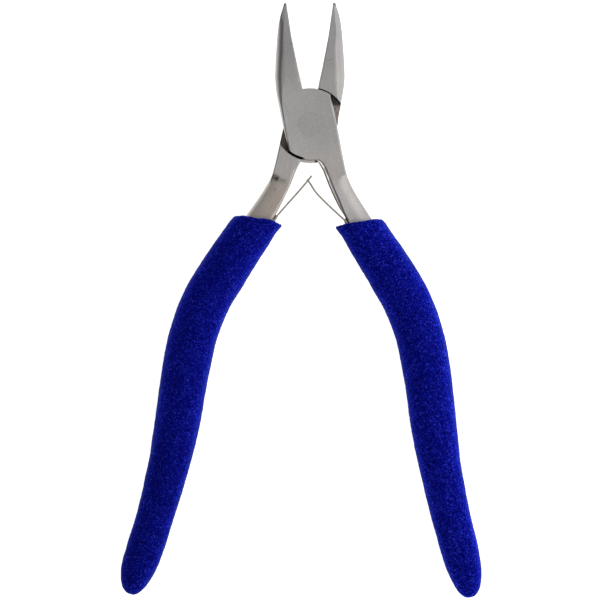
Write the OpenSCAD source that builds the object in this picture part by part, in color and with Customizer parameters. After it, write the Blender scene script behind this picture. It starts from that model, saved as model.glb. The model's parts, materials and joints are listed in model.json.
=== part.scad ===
// Round nose pliers with a lap joint, a double leaf return spring and foam
// sleeve grips. All sizes in millimetres.
//
// The pliers lie flat: +Z is the pivot axis, the origin is on that axis in the
// plane of the ground back face, +Y points towards the jaw tips.
// Each steel half is described in its closed pose, about the middle of the lap
// joint, where the two gripping faces meet on x = 0. It is then turned about
// the pivot to the pose the springs hold it in. The back half is the front
// half turned over about Y.

/* [Pose] */
// Angle of the front half from the closed pose, with the springs at rest
open_front = 11.1; // [9:0.1:12]
// Angle of the back half from the closed pose, with the springs at rest
open_back = 10.5; // [9:0.1:12]
// Extra outward set of the back half's handle
back_splay = 2.7; // [0:0.1:3]

/* [Lap joint] */
// Width across the flats of the lap joint
box_w = 14.1; // [13:0.1:15]
// Thickness of both laps together
box_t = 8.0; // [7:0.1:9]
// Radius of the round shoulders of the lap joint
lap_r = 9.95; // [9.4:0.05:10.4]
// Gap between the shoulders of the two halves
shoulder_gap = 0.28; // [0.15:0.01:0.4]
// Running clearance between the two laps
lap_clear = 0.05; // [0.02:0.01:0.1]
// Radius of the pivot rivet's shank
rivet_r = 2.4; // [2:0.1:2.8]
// Depth and extra radius of the rivet's flush conical heads
rivet_head = 0.8; // [0.5:0.1:1.2]
// Radial clearance of the rivet in the halves
rivet_clear = 0.03; // [0.02:0.01:0.08]

/* [Jaws] */
// Pivot to jaw tip
jaw_tip = 33.3; // [31:0.1:36]
// Half the depth of the jaw at its tip
tip_half_depth = 0.75; // [0.6:0.05:1.2]

/* [Handles] */
// Pivot to the end of the steel tang inside the grip
tang_end = 117; // [108:1:120]
// Half the depth of the tang where it enters the grip
tang_half_depth = 2.9; // [2.5:0.1:3.2]
// Extra width on the inner side of the back half's handle, above the grip
back_wide = 0.8; // [0:0.1:1]

/* [Grips] */
// Pivot to the mouth of the front half's grip
grip_mouth_front = 28.5; // [28.2:0.1:29]
// Pivot to the mouth of the back half's grip
grip_mouth_back = 27.9; // [27.6:0.1:28.4]
// Pivot to the closed end of the front half's grip
grip_end = 132.5; // [130:0.5:136]
// Extra length of the back half's grip
grip_back_extra = 0.4; // [0:0.1:0.8]
// Largest diameter of the grip
grip_d = 12.9; // [12.4:0.1:13.4]
// Clearance of the grip's bore around the tang
grip_clear = 0.1; // [0.08:0.01:0.2]

/* [Leaf springs] */
// Thickness of the spring strip
leaf_t = 0.4; // [0.35:0.05:0.5]
// Width of the spring strip
leaf_w = 5.6; // [4.5:0.1:6]
// Pivot to the rivet of the front half's spring
leaf_root_front = 27.1; // [26.8:0.1:27.3]
// Pivot to the rivet of the back half's spring
leaf_root_back = 26.3; // [26:0.1:26.8]
// Distance of the strip's middle from the handle's inner side
leaf_lift = 0.36; // [0.35:0.01:0.45]
// Where the two springs meet, across and along the tool
leaf_meet = [-0.75, -15.1];
// Length of strip beyond the meeting point on the back spring
leaf_over = 1.75; // [1.4:0.05:2]
// Bow of each strip between foot and tip
leaf_bow = 0.3; // [0:0.05:0.5]
// Radius of the spring rivets
foot_rivet_r = 0.7; // [0.5:0.05:0.8]

/* [Hidden] */
$fn = 96;

// Which half a part belongs to. Also used as a factor on what only the back half has.
FRONT = 0;
BACK = 1;

half_w = box_w / 2;
half_t = box_t / 2;
root = 4;              // pivot to where jaws and handles start inside the lap
tang_start = 28;       // pivot to where the handle becomes the tang
face_inset = 0.01;     // jaws and handles below the faces of the lap
edge_inset = 0.005;    // jaws and handles inside their outer edges
lap_trim = 0.2;        // the lap stops short of its right flat
overcut = 1;           // reach of a cut beyond the surface it opens
rivet_sink = 0.03;     // pivot rivet's ends below the faces, and its rims drawn in
corner_steps = 4;      // facets per rounded corner of a ring
oval_points = 26;      // points round a grip

// Spring rivets and the strips' feet, heights measured from the handle's inner side.
strip_top = leaf_lift + leaf_t / 2;
foot_rivet_depth = 2.5;
foot_rivet_clear = 0.03;
foot_head_r = 1;
foot_head_gap = 0.52;  // strip to the underside of the head
foot_head_h = 0.36;
strip_hole_r = foot_rivet_r + 0.25;
foot_len = 1.5;        // strip beyond its rivet, towards the handle's end
leaf_steps = 14;

// Tongue of the front spring and window of the back spring.
tongue_start = [1.0, -0.86];  // from the meeting point
tongue_tip = [-0.35, 0.22];
tongue_half_w = 1.1;
window_half_w = 1.35;
window_below = 0.9;    // from the meeting point towards the foot
window_len = 2.15;
over_bend = 4;         // turn of the back strip's overrun, degrees

// Shape of the grip's two ends.
mouth_len = 0.6;       // length of the rounding at the mouth
mouth_drop = 0.4;      // depth of the rounding at the mouth
dome_start = 116;      // pivot to where the closed end starts to round
dome_power = 2.4;      // exponent of the superellipse

// Design tables, each row [distance from the pivot, value].
// Outer edge of the jaw, distance from the middle plane.
JAW_OUT = [
    [root, half_w], [9.6, half_w], [13.2, 0.974 * half_w], [17.9, 0.85 * half_w],
    [22.6, 0.678 * half_w], [27.3, 0.486 * half_w], [30.4, 0.309 * half_w],
    [32.2, 0.165 * half_w], [jaw_tip, 0.075 * half_w]];
// Gripping edge of the jaw, distance from the middle plane.
JAW_IN = [[root, 0.25], [11, 0.25], [16, 0.38], [24, 0.42], [29, 0.22], [jaw_tip, 0.04]];
// Half depth of the jaw.
JAW_DEPTH = [
    [root, half_t], [12.5, half_t], [15.5, 0.945 * half_t], [25, 0.56 * half_t],
    [jaw_tip - 1, tip_half_depth + 0.12], [jaw_tip, tip_half_depth]];
// Width of the rounded strip along the outer edge of the jaw.
JAW_ROUND = [
    [root, 0.5], [9, 0.8], [14, 1.2], [20, 1.5], [26, 1.7], [30.4, 1.35], [jaw_tip, 0.3]];

// Outer edge of the handle, distance from the middle plane.
HAND_OUT = [
    [root, half_w - 0.2], [12, half_w - 0.25], [15, half_w - 0.16], [17, half_w + 0.15],
    [20, half_w + 1.0], [25, half_w + 2.9], [tang_start, 11.15]];
// Inner edge of the handle, distance from the middle plane.
HAND_IN = [
    [7, -0.9], [9.5, 0.05], [11.5, 0.85], [18, 2.5], [25, 4.15], [tang_start, 4.85]];
// Middle of the tang and of the grip, distance from the middle plane.
TANG_MID = [
    [tang_start, 8.0], [33.5, 10.0], [39.5, 12.35], [45.6, 14.5], [51.7, 16.4],
    [58, 17.55], [64.5, 18.0], [71, 17.9], [77.4, 17.55], [84, 17.05], [90.3, 16.7],
    [97, 16.5], [103.2, 16.55], [110, 16.75], [116, 17.1], [122.5, 17.45],
    [128, 17.75], [grip_end, 17.75], [grip_end + 1, 17.7]];
// Half width of the tang, square to its run.
TANG_HALF = [[tang_start, 2.85], [40, 2.8], [60, 2.6], [90, 2.3], [tang_end, 1.7]];
// Half depth of the handle.
HAND_DEPTH = [
    [root, half_t], [16, half_t], [20, 0.93 * half_t], [tang_start, tang_half_depth],
    [60, tang_half_depth - 0.3], [tang_end, 1.6]];
// Corner rounding of the handle, as a share of its half size.
HAND_ROUND = [[root, 0.12], [15, 0.14], [19, 0.5], [24, 0.75], [30, 0.85], [tang_end, 0.9]];
// How far the back half's tang is set outwards from the front half's.
BACK_SET = [
    [tang_start, 0], [45, 0], [64, -0.15], [90, -0.25], [105, -0.2], [116, 0.1],
    [124, 0.4], [grip_end, 0.7], [grip_end + 1, 0.7]];
// Extra inner width of the back half's handle, as a share of back_wide.
BACK_WIDE = [
    [9, 0], [12, 0.3], [18, 0.9], [22, 1], [26, 0.9], [30, 0.4], [36, 0], [50, 0]];
// Diameter of the grip, as a share of the largest diameter.
GRIP_SHARE = [
    [27, 0.9], [34, 0.94], [40, 0.98], [46, 1], [62, 1], [77, 0.978], [84, 0.958],
    [90, 0.924], [97, 0.872], [103, 0.84], [110, 0.805], [116, 0.79],
    [grip_end, 0.775], [grip_end + 1, 0.775]];

// Distances from the pivot at which the skins have a ring.
JAW_STATIONS = [
    root, 8, 11, 12.5, 14, 15.5, 17.5, 20, 22.5, 25, 27, 28.5, 30, 31.2, 32.2, 32.9, jaw_tip];
HAND_STATIONS = [
    7, 10, 12, 14, 15, 16, 17, 18.5, 20, 22, 24, 26, 28, 30, 33, 36, 40, 45, 50, 55, 60,
    65, 70, 77, 84, 91, 98, 105, 111];
GRIP_STATIONS = [
    32, 36, 40, 44, 48, 52, 56, 60, 65, 70, 76, 82, 88, 94, 100, 106, 111, dome_start];
// Stations on the grip's closed end, as shares of its length.
DOME_SHARES = [0.2, 0.38, 0.53, 0.66, 0.77, 0.86, 0.93, 0.97, 0.992];

// Smooth curve through a table: a cubic per span, with slopes that never overshoot.
function span(table, dist, i = 0) =
    (i >= len(table) - 2 || dist <= table[i + 1][0]) ? i : span(table, dist, i + 1);
function chord(table, i) = (table[i + 1][1] - table[i][1]) / (table[i + 1][0] - table[i][0]);
function slope(table, i) =
    i <= 0 ? chord(table, 0)
    : i >= len(table) - 1 ? chord(table, len(table) - 2)
    : let (before = chord(table, i - 1), after = chord(table, i))
      before * after <= 0 ? 0 : 2 * before * after / (before + after);
function curve(table, dist) =
    let (i = span(table, dist),
         run = table[i + 1][0] - table[i][0],
         part = (dist - table[i][0]) / run,
         square = part * part,
         cube = square * part)
    table[i][1] * (2 * cube - 3 * square + 1)
    + slope(table, i) * run * (cube - 2 * square + part)
    + table[i + 1][1] * (3 * square - 2 * cube)
    + slope(table, i + 1) * run * (cube - square);

function reversed(list) = [for (i = [len(list) - 1 : -1 : 0]) list[i]];
function unit(vector) = vector / norm(vector);
function turn(point, angle) =
    [point[0] * cos(angle) - point[1] * sin(angle),
     point[0] * sin(angle) + point[1] * cos(angle)];

// Closed ring of points in a plane square to Y: a box from x0 to x1 and from
// -z to z. Its left and right corners have the given roundings, each [x, z].
function ring(y, x0, x1, z, left_round, right_round) =
    [for (corner = [0 : 3], i = [0 : corner_steps])
        let (left = corner == 1 || corner == 2,
             top = corner < 2,
             angle = 90 * (corner + i / corner_steps),
             size = left ? left_round : right_round)
        [(left ? x0 + size[0] : x1 - size[0]) + size[0] * cos(angle),
         y,
         (top ? z - size[1] : size[1] - z) + size[1] * sin(angle)]];
function oval(y, x, radius_x, radius_z) =
    [for (i = [0 : oval_points - 1])
        let (angle = 360 * i / oval_points)
        [x + radius_x * cos(angle), y, radius_z * sin(angle)]];

// Solid skin over rings that follow each other towards +Y.
module loft(rings) {
    last = len(rings) - 1;
    count = len(rings[0]);
    polyhedron(
        points = [for (points = rings) for (point = points) point],
        faces = concat(
            [[for (i = [count - 1 : -1 : 0]) i]],
            [for (j = [0 : last - 1]) for (i = [0 : count - 1])
                [j * count + i, j * count + (i + 1) % count, (j + 1) * count + (i + 1) % count]],
            [for (j = [0 : last - 1]) for (i = [0 : count - 1])
                [j * count + i, (j + 1) * count + (i + 1) % count, (j + 1) * count + i]],
            [[for (i = [0 : count - 1]) last * count + i]]),
        convexity = 8);
}

// One jaw, left of the middle plane, from inside the lap joint to the tip.
module jaw() {
    loft([for (dist = JAW_STATIONS)
        let (outer = curve(JAW_OUT, dist),
             inner = curve(JAW_IN, dist),
             z = curve(JAW_DEPTH, dist) - face_inset,
             round_x = min(curve(JAW_ROUND, dist), 0.86 * (outer - inner)),
             round_z = min(0.86 * z, 1.15 * round_x + 0.4))
        ring(dist, -outer + edge_inset, -inner, z, [round_x, round_z], [0.08, 0.08])]);
}

// Middle and edges of a handle, as distances from the middle plane.
function tang_mid(dist, back) =
    curve(TANG_MID, dist) + back * curve(BACK_SET, max(tang_start, dist));
// Cosine of the tang's lean from Y.
function lean_cos(dist, back) =
    let (rise = tang_mid(dist + 0.5, back) - tang_mid(dist - 0.5, back))
    1 / sqrt(1 + rise * rise);
function tang_half(dist, back) = curve(TANG_HALF, dist) / lean_cos(dist, back);
function hand_out(dist, back) =
    dist <= tang_start ? curve(HAND_OUT, dist) : tang_mid(dist, back) + tang_half(dist, back);
function hand_in(dist, back) =
    (dist <= tang_start ? curve(HAND_IN, dist) : tang_mid(dist, back) - tang_half(dist, back))
    - (dist > 9 && dist < 36 ? back * back_wide * curve(BACK_WIDE, dist) : 0);
function hand_ring(dist, grow, back) =
    let (outer = hand_out(dist, back) + grow,
         inner = hand_in(dist, back) - grow,
         z = curve(HAND_DEPTH, dist) - face_inset + grow,
         size = curve(HAND_ROUND, dist) * [(outer - inner) / 2, z])
    ring(-dist, inner, outer - edge_inset, z, size, size);

// One handle, right of the middle plane, between two distances from the pivot.
// grow makes it larger all round, for the grip's bore.
module handle(from, to, back, grow = 0) {
    between = [for (dist = HAND_STATIONS) if (dist > from + 0.3 && dist < to - 0.3) dist];
    stations = concat([from], between, [to]);
    loft([for (dist = reversed(stations)) hand_ring(dist, grow, back)]);
}

// Place things that belong to the handle of a half.
module at_handle(back) {
    rotate([0, 0, back * back_splay]) children();
}

// Foot of the leaf spring in the handle's frame: the point on the handle's
// inner side, and the directions along it (down) and away from it.
function foot_dist(back) = back == BACK ? leaf_root_back : leaf_root_front;
function foot_point(back) = [hand_in(foot_dist(back), back), -foot_dist(back)];
function foot_dir(back) =
    let (dist = foot_dist(back), step = 0.6)
    unit([hand_in(dist + step, back) - hand_in(dist - step, back), -2 * step]);
function foot_out(back) = let (along = foot_dir(back)) [along[1], -along[0]];

// Axes of the spring rivet: Z away from the handle, X down along it.
module foot_axis(back) {
    point = foot_point(back);
    along = foot_dir(back);
    translate([point[0], point[1], 0])
        rotate([0, 0, atan2(along[1], along[0])])
            rotate([90, 0, 0]) children();
}

// A steel half in its closed pose: jaw left, front lap, handle right.
module half(back) {
    hole_r = rivet_r + rivet_clear;
    difference() {
        union() {
            intersection() {
                translate([0, 0, lap_clear / 2]) cylinder(r = lap_r, h = half_t - lap_clear / 2);
                translate([-half_w, -20, 0]) cube([box_w - lap_trim, 40, half_t]);
            }
            jaw();
            at_handle(back) handle(root, tang_end, back);
        }
        // room for the other half's lap
        translate([0, 0, -half_t - overcut])
            cylinder(r = lap_r + shoulder_gap, h = half_t + overcut + lap_clear / 2);
        // pivot hole and the countersink of the rivet's head
        translate([0, 0, -overcut]) cylinder(r = hole_r, h = half_t + 2 * overcut);
        translate([0, 0, half_t - rivet_head])
            cylinder(r1 = hole_r, r2 = hole_r + rivet_head, h = rivet_head);
        // hole for the spring rivet
        at_handle(back) foot_axis(back)
            translate([0, 0, -foot_rivet_depth - 0.1])
                cylinder(r = foot_rivet_r + foot_rivet_clear, h = 4, $fn = 32);
    }
}

// Pivot rivet: a shank with a conical head at each end.
module rivet() {
    top = half_t - rivet_sink;
    neck = half_t - rivet_head;
    rim = rivet_r + rivet_head - rivet_sink;
    rotate_extrude()
        polygon([[0, -top], [rim, -top], [rivet_r, -neck], [rivet_r, neck], [rim, top], [0, top]]);
}

// Domed rivet that stands on the handle's inner side.
module spring_rivet(back) {
    head = strip_top + foot_head_gap;
    foot_axis(back) rotate_extrude($fn = 48) polygon(concat(
        [[0, -foot_rivet_depth], [foot_rivet_r, -foot_rivet_depth],
         [foot_rivet_r, head], [foot_head_r, head]],
        [for (angle = [15 : 15 : 90])
            [foot_head_r * cos(angle), head + foot_head_h * sin(angle)]]));
}

// Soft grip: a round sleeve with a closed, rounded end, bored for the tang,
// with a pocket at its mouth for the foot of the spring.
function grip_r(dist, mouth, end) =
    let (short = 1 - min(1, (dist - mouth) / mouth_len),
         dome = max(0, (dist - dome_start) / (end - dome_start)))
    (grip_d / 2 * curve(GRIP_SHARE, dist) - mouth_drop * (1 - sqrt(1 - short * short)))
    * pow(max(0, 1 - pow(dome, dome_power)), 1 / dome_power);
module grip(mouth, back) {
    end = grip_end + back * grip_back_extra;
    stations = concat(
        [mouth, mouth + 0.2, mouth + mouth_len],
        GRIP_STATIONS,
        [for (share = DOME_SHARES) dome_start + share * (end - dome_start)]);
    difference() {
        loft([for (dist = reversed(stations))
            let (radius = grip_r(dist, mouth, end))
            oval(-dist, tang_mid(dist, back), radius / lean_cos(dist, back), radius)]);
        handle(mouth - 1, tang_end + 1, back, grip_clear);
        foot_axis(back) translate([-3, -leaf_w / 2 - 0.3, -overcut])
            cube([5, leaf_w + 0.6, overcut + strip_top + 1.1]);
    }
}

// Strip of spring steel along a line of points, seen from the front.
module ribbon(line) {
    last = len(line) - 1;
    offsets = [for (i = [0 : last])
        let (along = unit(line[min(last, i + 1)] - line[max(0, i - 1)]))
        leaf_t / 2 * [-along[1], along[0]]];
    linear_extrude(height = leaf_w, center = true) polygon(concat(
        [for (i = [0 : last]) line[i] + offsets[i]],
        [for (i = [last : -1 : 0]) line[i] - offsets[i]]));
}

// A point or direction of a handle's frame in the open pose, seen from the front.
function opened(point, back) =
    back == BACK
    ? let (turned = turn(point, open_back + back_splay)) [-turned[0], turned[1]]
    : turn(point, open_front);
function leaf_root(back) = opened(foot_point(back) + leaf_lift * foot_out(back), back);
function leaf_dir(back) = opened(foot_dir(back), back);

// Middle line of a leaf from its foot to the tip, bowed to the side given as 1 or -1.
function leaf_line(back, tip, side) =
    let (start = leaf_root(back),
         reach = tip - start,
         across = unit([-reach[1], reach[0]]))
    concat(
        [start + foot_len * leaf_dir(back)],
        [for (i = [0 : leaf_steps])
            let (part = i / leaf_steps)
            start + reach * part + side * leaf_bow * 4 * part * (1 - part) * across]);

// Frame at a point with Y along a direction, for cuts square to a strip.
module at_strip(point, along) {
    translate([point[0], point[1], 0])
        rotate([0, 0, atan2(along[1], along[0]) - 90]) children();
}

// A leaf with its rivet hole. The children are cut out of it.
module leaf(back, line) {
    difference() {
        ribbon(line);
        at_strip(leaf_root(back), leaf_dir(back))
            rotate([0, 90, 0]) translate([0, 0, -2]) cylinder(r = strip_hole_r, h = 4, $fn = 48);
        children();
    }
}

// Lift from the middle of the lap joint to the back face.
module raised() {
    translate([0, 0, half_t]) children();
}

// Bring a half, or what it carries, from its closed pose to its place.
module posed(back) {
    raised() rotate([0, 0, back == BACK ? -open_back : open_front])
        rotate([0, 180 * back, 0]) children();
}

module front_half() {
    color("#a9a5a0") posed(FRONT) half(FRONT);
}

module back_half() {
    color("#9c9893") posed(BACK) half(BACK);
}

module pivot_rivet() {
    color("#b4b0aa") posed(FRONT) rivet();
}

module front_spring_leaf() {
    line = concat(leaf_line(FRONT, leaf_meet + tongue_start, 1), [leaf_meet + tongue_tip]);
    // the strip is narrowed to a tongue that goes through the other spring's window
    color("#8e8a84") raised() leaf(FRONT, line)
        for (z = [-tongue_half_w - 3, tongue_half_w])
            at_strip(leaf_meet, leaf_meet - leaf_root(FRONT))
                translate([-3, -1.9, z]) cube([6, 5, 3]);
}

module back_spring_leaf() {
    reach = leaf_meet - leaf_root(BACK);
    tip = leaf_meet + leaf_over * turn(unit(reach), over_bend);
    // window for the tongue
    color("#8e8a84") raised() leaf(BACK, leaf_line(BACK, tip, -1))
        at_strip(leaf_meet, reach)
            translate([-2, -window_below, -window_half_w])
                cube([4, window_len, 2 * window_half_w]);
}

module front_spring_rivet() {
    color("#77736e") posed(FRONT) spring_rivet(FRONT);
}

module back_spring_rivet() {
    color("#77736e") posed(BACK) at_handle(BACK) spring_rivet(BACK);
}

module front_grip() {
    color("#1418a0") posed(FRONT) grip(grip_mouth_front, FRONT);
}

module back_grip() {
    color("#10148c") posed(BACK) at_handle(BACK) grip(grip_mouth_back, BACK);
}

front_half();
back_half();
pivot_rivet();
front_spring_leaf();
back_spring_leaf();
front_spring_rivet();
back_spring_rivet();
front_grip();
back_grip();
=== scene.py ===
# Small sprung pliers lying flat and open: jaws towards +Y, handles towards -Y, front face up (+Z).
# Two steel halves turn on a pivot rivet. Leaf springs meet between the handles, foam covers both.
import json
import math

import bmesh
import bpy
import numpy as np
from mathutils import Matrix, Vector


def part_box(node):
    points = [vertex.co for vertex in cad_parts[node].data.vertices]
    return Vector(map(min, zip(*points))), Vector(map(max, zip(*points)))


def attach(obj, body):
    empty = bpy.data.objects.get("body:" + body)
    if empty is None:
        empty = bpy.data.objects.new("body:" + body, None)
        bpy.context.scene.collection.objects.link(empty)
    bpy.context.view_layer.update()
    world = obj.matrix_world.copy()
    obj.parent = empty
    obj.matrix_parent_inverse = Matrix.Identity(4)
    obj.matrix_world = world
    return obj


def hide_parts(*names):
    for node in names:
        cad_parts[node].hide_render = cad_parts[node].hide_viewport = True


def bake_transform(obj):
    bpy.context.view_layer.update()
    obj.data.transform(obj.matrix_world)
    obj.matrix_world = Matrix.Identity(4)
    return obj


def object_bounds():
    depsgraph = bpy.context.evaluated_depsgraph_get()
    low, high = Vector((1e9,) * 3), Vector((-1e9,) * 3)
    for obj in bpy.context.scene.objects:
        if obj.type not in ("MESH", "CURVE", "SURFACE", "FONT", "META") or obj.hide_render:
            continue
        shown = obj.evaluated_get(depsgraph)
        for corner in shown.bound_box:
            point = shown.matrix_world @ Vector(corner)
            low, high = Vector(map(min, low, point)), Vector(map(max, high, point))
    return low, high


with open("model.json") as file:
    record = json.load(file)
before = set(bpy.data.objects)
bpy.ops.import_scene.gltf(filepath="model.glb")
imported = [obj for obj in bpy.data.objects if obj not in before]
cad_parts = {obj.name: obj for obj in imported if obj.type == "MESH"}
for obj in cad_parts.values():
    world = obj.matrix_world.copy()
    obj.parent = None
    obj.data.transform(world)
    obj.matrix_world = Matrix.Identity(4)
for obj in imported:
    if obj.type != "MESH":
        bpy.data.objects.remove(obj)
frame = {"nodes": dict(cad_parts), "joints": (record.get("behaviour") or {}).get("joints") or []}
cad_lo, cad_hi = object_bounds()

MM = 0.001

# ------------------------------------------------------------------------------------------
# Frame, in mm. A half is drawn closed, with the pivot at the origin and its jaw on the -X side;
# the back half is the same design turned half a turn about Y.
# `back` is 0 for the front half and 1 for the back half; `dist` is the distance from the pivot.
# ------------------------------------------------------------------------------------------
JOINT = {joint["name"]: joint for joint in frame["joints"]}
PIVOT = Vector(JOINT["pivot"]["pos_m"])
HALF_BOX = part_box("front_half")
PIVOT.z = (HALF_BOX[0].z + HALF_BOX[1].z) / 2
PIVOT_Z = PIVOT.z / MM
ROOT_FRONT = np.array((Vector(JOINT["front_spring_flex"]["pos_m"]) / MM)[:2])
ROOT_BACK = np.array((Vector(JOINT["back_spring_flex"]["pos_m"]) / MM)[:2])
HALF_D = (HALF_BOX[1].z - HALF_BOX[0].z) / 2 / MM       # half the depth of the lap joint
HALF_W = 7.05                                           # half the width at the lap joint
OPEN = (11.1, -10.5)                                    # turn of each half about the pivot, degrees
SPLAY = (0, 2.7)                                        # further turn of each handle, degrees
FLAT_SINK, WALL_SINK = .003, .004                       # jaw and handle stay this far inside the lap
HAND_EXTRA = .13                                        # added to the handle's outer side

# Design stations: [distance from the pivot, value], in mm unless stated.
# Jaw: outer side, what the back jaw lacks there, gripping face, half depth.
JAW_OUT = [
    [-4, HALF_W], [2, HALF_W + .2], [9.6, HALF_W + .24], [13.2, .974 * HALF_W + .12],
    [17.9, .85 * HALF_W], [22.6, .678 * HALF_W], [27.3, .486 * HALF_W], [30.4, .309 * HALF_W],
    [32.2, .17 * HALF_W], [33.3, .098 * HALF_W]]
BACK_JAW_SLIM = [[-4, 0], [2, .2], [9.6, .24], [13.2, .12], [17.9, .08], [27, .05], [30, 0]]
JAW_IN = [[4, .25], [11, .25], [16, .38], [24, .42], [29, .22], [33.3, .04]]
JAW_DEPTH = [
    [4, HALF_D], [12.5, HALF_D], [15.5, .945 * HALF_D], [25, .56 * HALF_D], [32.3, .87],
    [33.3, .75]]
# Outer edge of the jaw: radius and crease (degrees); by the lap, chamfer and steep face widths.
JAW_EDGE = [
    [-1.5, .45], [0, .5], [2, .6], [4, .75], [6, .95], [7.2, 1.05], [9.3, 1.5], [11.4, 2.0],
    [14, 2.1], [20, 2.1], [23.4, 1.75], [26, 1.6], [30.4, 1.15], [33.3, .3]]
JAW_CREASE = [
    [-1.5, 36], [4, 33], [7, 26], [9.3, 17], [11.4, 12], [18, 12], [23.4, 22], [28, 24],
    [33.3, 12]]
BASE_CHAMFER = [[-1.5, .3], [4, .36], [7, .5], [10, .7]]
BASE_STEEP = [[-1.5, .15], [2, .36], [7, .5], [10, .6]]
# Handle: outer and inner side down to the tang, then the tang's middle line and half width.
HAND_OUT = [
    [1, HALF_W - .2], [4, HALF_W - .2], [12, HALF_W - .25], [15, HALF_W - .16],
    [17, HALF_W + .15], [20, HALF_W + 1.0], [25, HALF_W + 2.9], [28, 11.15]]
HAND_IN = [[7, -.9], [9.5, .05], [11.5, .85], [18, 2.5], [25, 4.15], [28, 4.85]]
TANG_START = 28
TANG_MID = [
    [28, 8.0], [33.5, 10.0], [39.5, 12.35], [45.6, 14.5], [51.7, 16.4], [58, 17.55],
    [64.5, 18.0], [71, 17.9], [77.4, 17.55], [84, 17.05], [90.3, 16.7], [97, 16.5],
    [103.2, 16.55], [110, 16.75], [116, 17.1], [122.5, 17.45], [128, 17.75], [132.5, 17.75],
    [133.5, 17.7]]
TANG_HALF = [[28, 2.85], [40, 2.8], [60, 2.6], [90, 2.3], [117, 1.7]]
HAND_DEPTH = [[1, HALF_D], [16, HALF_D], [20, .93 * HALF_D], [28, 2.9], [60, 2.6], [117, 1.6]]
# Differences between the halves: back middle line, extra width inwards of the front and back.
BACK_SET = [
    [28, 0], [38, -.1], [51, -.2], [60, -.22], [66, -.27], [75, -.4], [90, -.42], [105, -.35],
    [110.5, -.27], [116, -.3], [121.7, -.12], [127, .12], [132.5, .45], [133.5, .45]]
FRONT_WIDE = [
    [7, 0], [8.2, .9], [9.3, .95], [10, .55], [10.8, .3], [12.6, .28], [14.7, .42], [17, .55],
    [18.8, .6], [20.8, .58], [23.3, .45], [25, .2], [26.4, 0]]
BACK_WIDE = [[9, 0], [12, .3], [18, .9], [22, 1], [26, .9], [30, .4], [36, 0], [50, 0]]
# Outer corner of the handle: share of the width that falls away, slope it reaches at the edge
# (degrees), and the edge radius across and in depth.
OUT_SHARE = [
    [1, .055], [14.9, .055], [15.1, .2], [15.3, .32], [15.8, .45], [16.6, .55], [18, .57],
    [28, .57], [40, .5], [117, .5]]
OUT_SLOPE = [[1, 36], [14.9, 36], [15.1, 22], [15.6, 16], [18, 15], [28, 16], [117, 18]]
OUT_RUN = [[1, .3], [14.9, .3], [15.3, .4], [17, .5], [28, .7], [117, .9]]
OUT_DROP = [[1, .5], [14.9, .5], [15.3, .65], [17, .9], [28, 1.2], [117, 1.2]]
# Inner corner, front side: chamfer width, steep face width. Rear side: radius across and in
# depth, crease (degrees). Then the width of the ledge below the front corner.
IN_CHAMFER = [[1, .42], [20, .42], [24, .28], [28, .25], [117, .3]]
IN_STEEP = [[1, .36], [16, .4], [22, .42], [28, .3], [117, .3]]
REAR_RUN = [[1, .3], [14, .3], [18, .45], [22, .7], [28, 1.1], [40, 1.2], [117, 1.0]]
REAR_DROP = [[1, .5], [14, .5], [18, .3], [22, .36], [28, .5], [40, 1.0], [117, 1.2]]
REAR_CREASE = [[1, 20], [18, 8], [24, 3], [117, 0]]
LEDGE = [[1, .42], [19, .42], [23, .3], [26, .0], [117, 0]]
# Foam: share of the full radius, what the back sleeve lacks, shift of the front middle line.
GRIP_SHARE = [
    [27, .9], [34, .94], [40, .98], [46, 1], [62, 1], [77, .978], [84, .958], [90, .924],
    [97, .872], [103, .84], [110, .805], [116, .79], [132.5, .775], [133.5, .775]]
BACK_THIN = [
    [27, -.16], [33, -.14], [38, 0], [66, .02], [80, .05], [98, .06], [105, .13], [110.5, .2],
    [116, .14], [121.7, .03], [127, -.2], [131, -.12], [133.5, 0]]
FRONT_SET = [[27, -.17], [38, -.17], [45, -.04], [52, -.1], [60, 0], [133.5, 0]]


def curve(table, dist):
    """Smooth curve through a table of stations that never overshoots them."""
    i = 0
    while i < len(table) - 2 and dist > table[i + 1][0]:
        i += 1

    def chord(k):
        return (table[k + 1][1] - table[k][1]) / (table[k + 1][0] - table[k][0])

    def grad(k):
        if k <= 0:
            return chord(0)
        if k >= len(table) - 1:
            return chord(len(table) - 2)
        before, after = chord(k - 1), chord(k)
        return 0 if before * after <= 0 else 2 * before * after / (before + after)

    span = table[i + 1][0] - table[i][0]
    u = (dist - table[i][0]) / span
    start, end = table[i][1], table[i + 1][1]
    leave, arrive = grad(i) * span, grad(i + 1) * span
    return (start * (2 * u**3 - 3 * u**2 + 1) + leave * (u**3 - 2 * u**2 + u)
            + end * (3 * u**2 - 2 * u**3) + arrive * (u**3 - u**2))


def clamped(table, dist):
    return curve(table, min(max(dist, table[0][0]), table[-1][0]))


def share(value, start, length):
    """0 up to start, rising to 1 over length."""
    return min(1, max(0, (value - start) / length))


def turned(x, y, degrees):
    angle = math.radians(degrees)
    return (x * math.cos(angle) - y * math.sin(angle), x * math.sin(angle) + y * math.cos(angle))


# ------------------------------------------------------------------------------------------
# Mesh helpers
# ------------------------------------------------------------------------------------------
BOX_FACES = [[0, 3, 2, 1], [4, 5, 6, 7], [0, 1, 5, 4], [1, 2, 6, 5], [2, 3, 7, 6], [3, 0, 4, 7]]


def face_outward(mesh):
    bm = bmesh.new()
    bm.from_mesh(mesh)
    bmesh.ops.recalc_face_normals(bm, faces=bm.faces)
    bm.to_mesh(mesh)
    bm.free()


def new_object(name, mesh):
    obj = bpy.data.objects.new(name, mesh)
    bpy.context.scene.collection.objects.link(obj)
    return obj


def solid(name, verts, faces):
    mesh = bpy.data.meshes.new(name)
    mesh.from_pydata([tuple(point) for point in verts], [], faces)
    face_outward(mesh)
    return new_object(name, mesh)


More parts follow.
